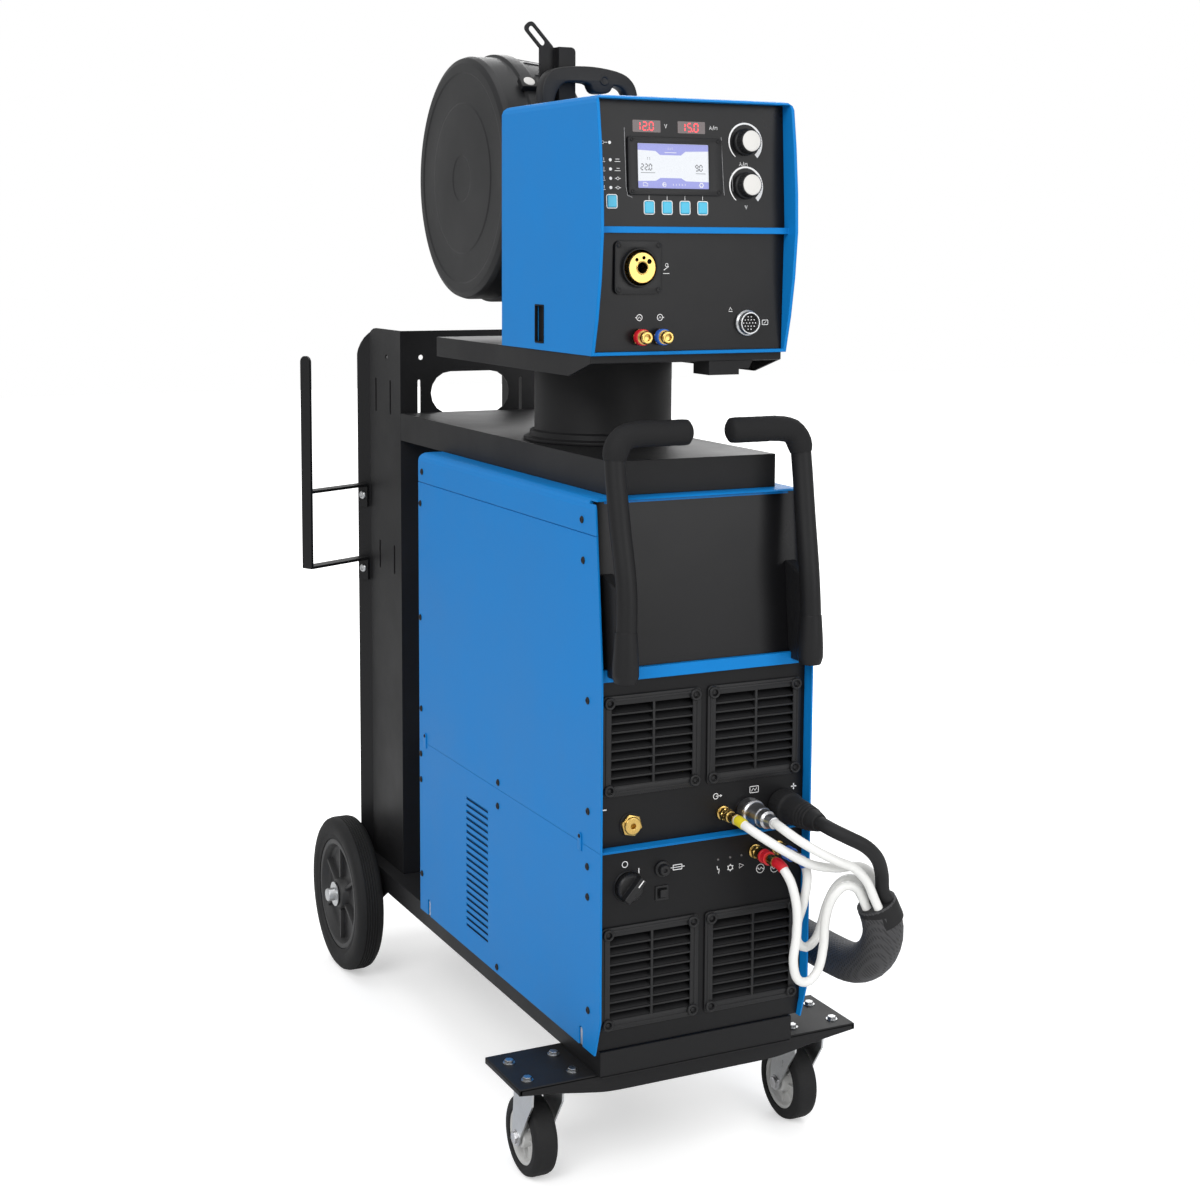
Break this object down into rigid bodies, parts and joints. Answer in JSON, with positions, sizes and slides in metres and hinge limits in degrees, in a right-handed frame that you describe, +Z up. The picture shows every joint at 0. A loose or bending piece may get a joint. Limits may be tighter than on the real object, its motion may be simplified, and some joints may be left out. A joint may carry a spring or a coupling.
{
  "type": "mig welder on cart",
  "caption": "MIG welding set on a wheeled cart: a swivelling wire feeder with spool drum above a power source and a water cooler, joined by a hose bundle.",
  "frame": {"origin": "on the floor, under the middle of the whole object's bounding box, measured without the hose bundle and its plugs", "axes": "+Z up, the front panels with the sockets and display face -Y, the spool drum's cover faces -X"},
  "size_m": [0.472, 1.1131, 1.4249],
  "materials": {
    "powder_blue": "powder coat",
    "powder_black": "powder coat",
    "black_plastic": "moulded",
    "rubber": "matt",
    "tyre": "matt",
    "hub_plastic": "moulded",
    "grey_plastic": "moulded",
    "zinc": "zinc plated",
    "brass": "plain",
    "white_hose": "smooth",
    "key": "moulded",
    "wire": "copper coated"
  },
  "bodies": {
    "cart": {"front_plate": "powder_black", "chassis": "powder_black", "rear_axle": "zinc", "mast": "powder_black", "cable_hanger": "powder_black", "lower_shelf": "powder_black", "swivel_post": "powder_black", "cooler_casing": "powder_blue", "cooler_front": "black_plastic", "cooler_grilles": "black_plastic", "power_casing": "powder_blue", "power_front_lower": "black_plastic", "power_front_upper": "black_plastic", "power_grilles": "black_plastic", "fuse_holder": "black_plastic", "coupling_red": "brass", "coupling_blue": "brass", "coupling_gas": "brass", "control_plug": "zinc", "power_plug": "rubber", "negative_socket": "brass", "handle_left": "powder_black", "handle_right": "powder_black", "grip_left": "rubber", "grip_right": "rubber", "cable_sleeve": "rubber", "hose_red": "white_hose", "hose_blue": "white_hose", "hose_gas": "white_hose", "control_cable": "white_hose", "power_cable": "rubber"},
    "feeder": {"upper_shelf": "powder_black", "feeder_casing": "powder_blue", "feeder_front": "black_plastic", "display": "black_plastic", "euro_socket": "brass", "water_socket_red": "brass", "water_socket_blue": "brass", "remote_socket": "zinc", "carry_handle": "black_plastic", "lifting_eye": "powder_black", "spool_drum": "grey_plastic"},
    "spool_cover": {"spool_cover": "grey_plastic"},
    "wire_spool": {"wire_spool": "wire"},
    "wire_speed_knob": {"wire_speed_knob": "black_plastic"},
    "voltage_knob": {"voltage_knob": "black_plastic"},
    "cooler_switch": {"cooler_switch": "black_plastic"},
    "rear_wheel_left": {"rear_tyre_left": "tyre", "rear_hub_left": "hub_plastic"},
    "caster_fork_left": {"caster_fork_left": "zinc"},
    "caster_wheel_left": {"caster_wheel_left": "tyre"},
    "rear_wheel_right": {"rear_tyre_right": "tyre", "rear_hub_right": "hub_plastic"},
    "caster_fork_right": {"caster_fork_right": "zinc"},
    "caster_wheel_right": {"caster_wheel_right": "tyre"},
    "button_1": {"button_1": "key"},
    "button_2": {"button_2": "key"},
    "button_3": {"button_3": "key"},
    "button_4": {"button_4": "key"},
    "button_5": {"button_5": "key"}
  },
  "joints": [
    {"name": "rear_wheel_left_roll", "type": "hinge", "parent": "cart", "child": "rear_wheel_left", "pos_m": [-0.163, 0.39325, 0.12], "axis": [1, 0, 0], "continuous": true},
    {"name": "caster_left_swivel", "type": "hinge", "parent": "cart", "child": "caster_fork_left", "pos_m": [-0.186, -0.39875, 0.14], "axis": [0, 0, 1], "continuous": true},
    {"name": "caster_left_roll", "type": "hinge", "parent": "caster_fork_left", "child": "caster_wheel_left", "pos_m": [-0.186, -0.37075, 0.05], "axis": [1, 0, 0], "continuous": true},
    {"name": "rear_wheel_right_roll", "type": "hinge", "parent": "cart", "child": "rear_wheel_right", "pos_m": [0.163, 0.39325, 0.12], "axis": [1, 0, 0], "continuous": true},
    {"name": "caster_right_swivel", "type": "hinge", "parent": "cart", "child": "caster_fork_right", "pos_m": [0.186, -0.39875, 0.14], "axis": [0, 0, 1], "continuous": true},
    {"name": "caster_right_roll", "type": "hinge", "parent": "caster_fork_right", "child": "caster_wheel_right", "pos_m": [0.186, -0.37075, 0.05], "axis": [1, 0, 0], "continuous": true},
    {"name": "feeder_swivel", "type": "hinge", "parent": "cart", "child": "feeder", "pos_m": [0, -0.18175, 1.0135], "axis": [0, 0, 1], "range_deg": [-90, 90]},
    {"name": "spool_cover_hinge", "type": "hinge", "parent": "feeder", "child": "spool_cover", "pos_m": [-0.061, 0.18625, 1.231], "axis": [0, 0, -1], "range_deg": [0, 110]},
    {"name": "wire_spool_turn", "type": "hinge", "parent": "feeder", "child": "wire_spool", "pos_m": [-0.056, 0.01425, 1.231], "axis": [1, 0, 0], "continuous": true},
    {"name": "wire_speed_knob_turn", "type": "hinge", "parent": "feeder", "child": "wire_speed_knob", "pos_m": [0.075, -0.41251, 1.267], "axis": [0, -0.9981, 0.061], "continuous": true},
    {"name": "voltage_knob_turn", "type": "hinge", "parent": "feeder", "child": "voltage_knob", "pos_m": [0.075, -0.41569, 1.215], "axis": [0, -0.9981, 0.061], "continuous": true},
    {"name": "button_1_press", "type": "slide", "parent": "feeder", "child": "button_1", "axis": [0, 0.9981, -0.061], "range_m": [0, 0.001], "stiffness_N_per_m": 300, "springref_m": -0.001},
    {"name": "button_2_press", "type": "slide", "parent": "feeder", "child": "button_2", "axis": [0, 0.9981, -0.061], "range_m": [0, 0.001], "stiffness_N_per_m": 300, "springref_m": -0.001},
    {"name": "button_3_press", "type": "slide", "parent": "feeder", "child": "button_3", "axis": [0, 0.9981, -0.061], "range_m": [0, 0.001], "stiffness_N_per_m": 300, "springref_m": -0.001},
    {"name": "button_4_press", "type": "slide", "parent": "feeder", "child": "button_4", "axis": [0, 0.9981, -0.061], "range_m": [0, 0.001], "stiffness_N_per_m": 300, "springref_m": -0.001},
    {"name": "button_5_press", "type": "slide", "parent": "feeder", "child": "button_5", "axis": [0, 0.9981, -0.061], "range_m": [0, 0.001], "stiffness_N_per_m": 300, "springref_m": -0.001},
    {"name": "cooler_switch_turn", "type": "hinge", "parent": "cart", "child": "cooler_switch", "pos_m": [-0.1, -0.46075, 0.381], "axis": [0, -1, 0], "range_deg": [0, 52]}
  ]
}
